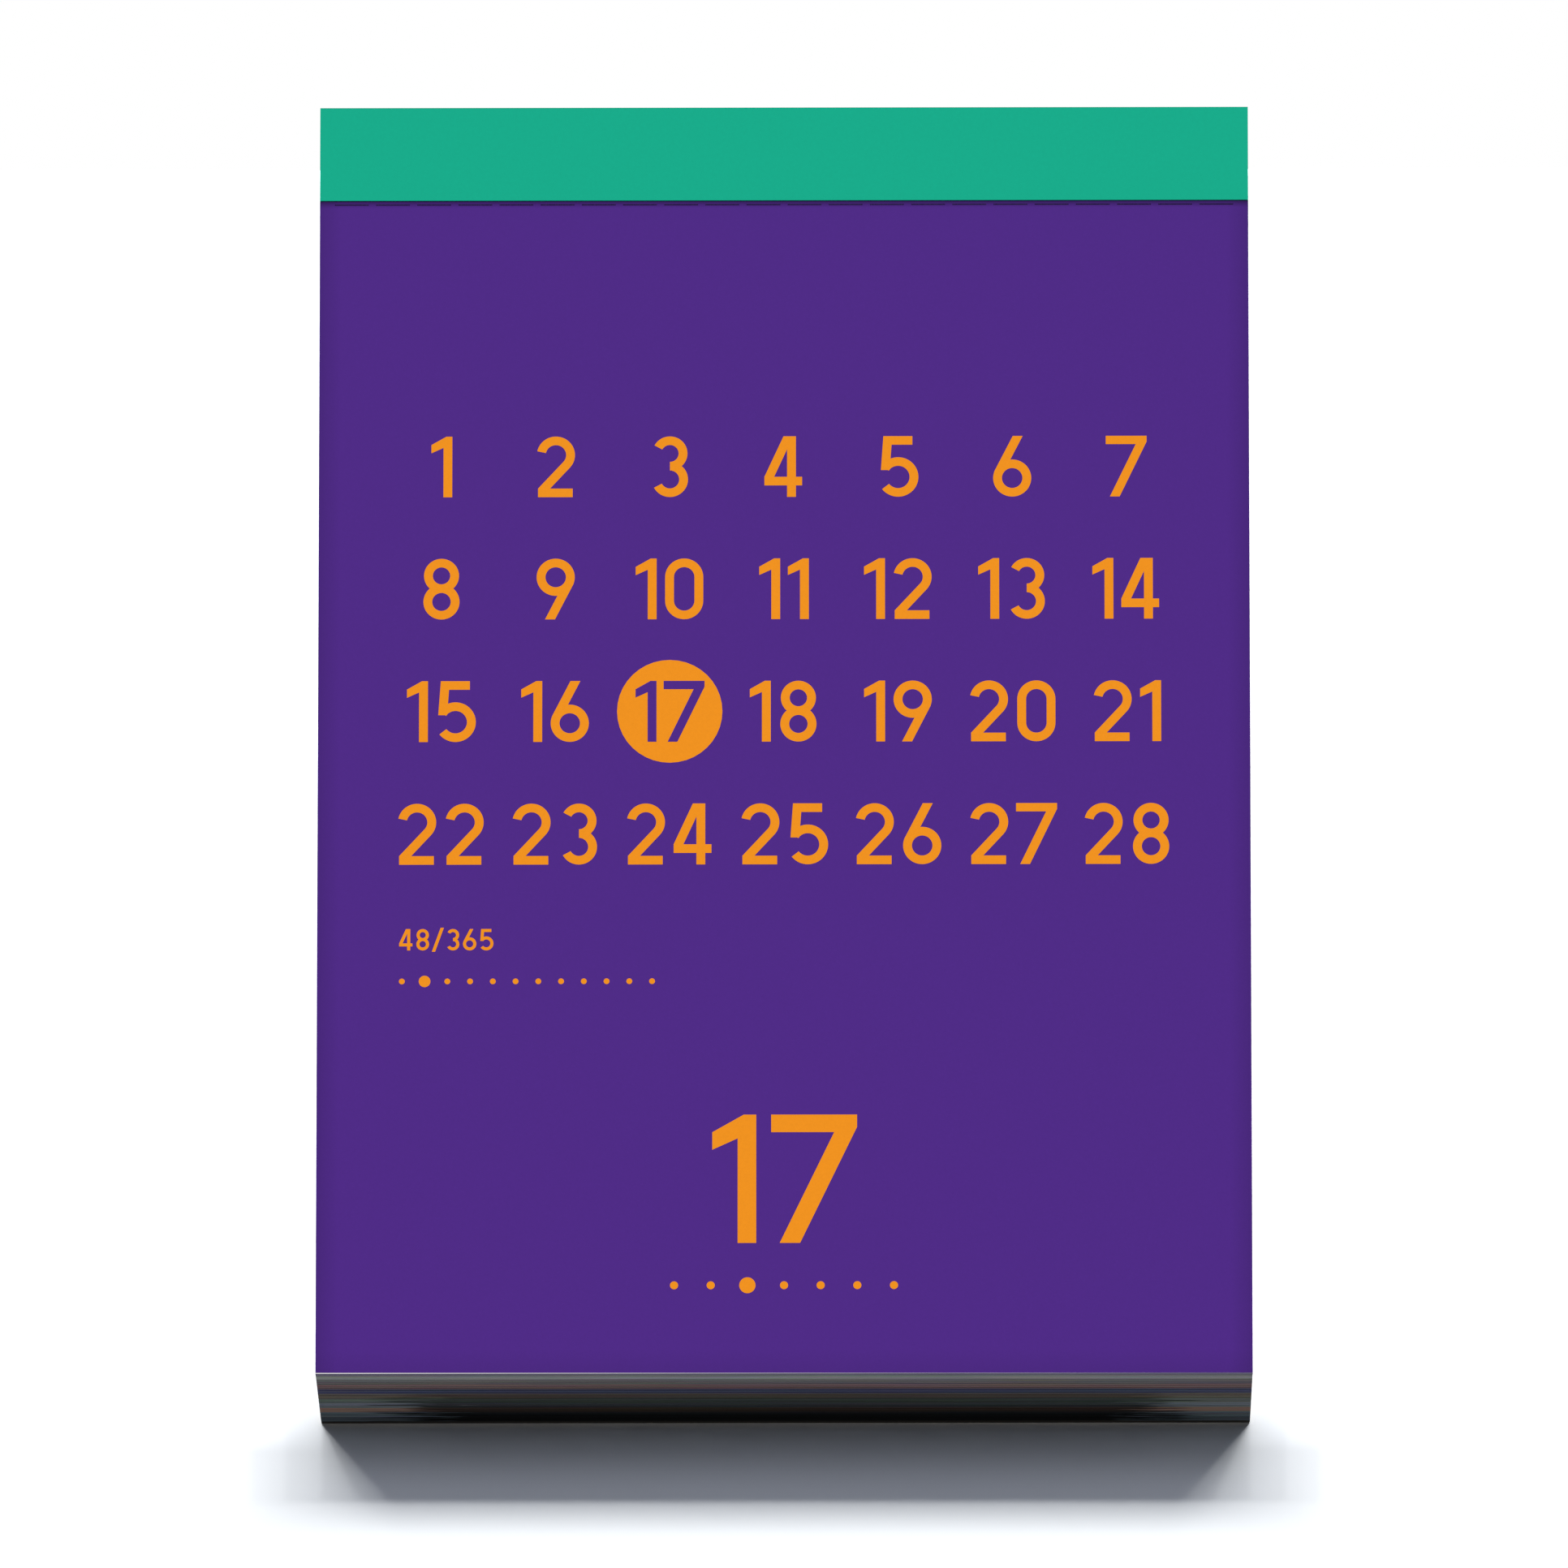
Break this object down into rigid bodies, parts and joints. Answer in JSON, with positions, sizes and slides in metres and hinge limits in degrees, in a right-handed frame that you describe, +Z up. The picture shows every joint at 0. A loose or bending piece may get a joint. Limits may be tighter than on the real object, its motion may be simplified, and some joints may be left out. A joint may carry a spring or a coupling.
{
  "type": "tear-off day calendar",
  "caption": "Thick block of perforated day leaves on a greyboard back with a nail hole and a fold-out strut, wrapped at the head by a paper band.",
  "frame": {"origin": "middle of the foot: centre of the overall width and depth, on the plane that the block stands on", "axes": "+Z up towards the head band, the printed front leaf faces -Y, the greyboard back faces +Y, +X to the reader's right"},
  "size_m": [0.115, 0.0322, 0.16],
  "materials": {
    "front_leaf": "matte",
    "february_paper": "matte",
    "march_paper": "matte",
    "april_paper": "matte",
    "may_paper": "matte",
    "june_paper": "matte",
    "july_paper": "matte",
    "august_paper": "matte",
    "september_paper": "matte",
    "october_paper": "matte",
    "november_paper": "matte",
    "december_paper": "matte",
    "head_glue": "satin",
    "head_band": "matte",
    "staple_wire": "satin",
    "greyboard": "matte"
  },
  "bodies": {
    "block": {"leaf_17_stub": "front_leaf", "leaf_18_stub": "february_paper", "leaf_19": "february_paper", "leaf_20": "february_paper", "leaf_21": "february_paper", "leaf_22": "february_paper", "leaf_23": "february_paper", "leaf_24": "february_paper", "leaf_25": "february_paper", "leaf_26": "february_paper", "leaf_27": "february_paper", "leaf_28": "february_paper", "march_leaves": "march_paper", "april_leaves": "april_paper", "may_leaves": "may_paper", "june_leaves": "june_paper", "july_leaves": "july_paper", "august_leaves": "august_paper", "september_leaves": "september_paper", "october_leaves": "october_paper", "november_leaves": "november_paper", "december_leaves": "december_paper", "head_glue": "head_glue", "head_band": "head_band", "staple_left": "staple_wire", "staple_right": "staple_wire", "back_board": "greyboard"},
    "next_leaf": {"leaf_18": "february_paper"},
    "today_leaf": {"leaf_17": "front_leaf"},
    "easel": {"easel_strut": "greyboard"}
  },
  "joints": [
    {"name": "leaf_18_lift", "type": "hinge", "parent": "block", "child": "next_leaf", "pos_m": [0, -0.01586, 0.1476], "axis": [-1, 0, 0], "range_deg": [0, 150]},
    {"name": "leaf_17_tear_off", "type": "slide", "parent": "next_leaf", "child": "today_leaf", "axis": [0, 0, -1], "range_m": [0, 0.15]},
    {"name": "easel_fold", "type": "hinge", "parent": "block", "child": "easel", "pos_m": [0, 0.01586, 0.118], "axis": [1, 0, 0], "range_deg": [0, 25]}
  ]
}
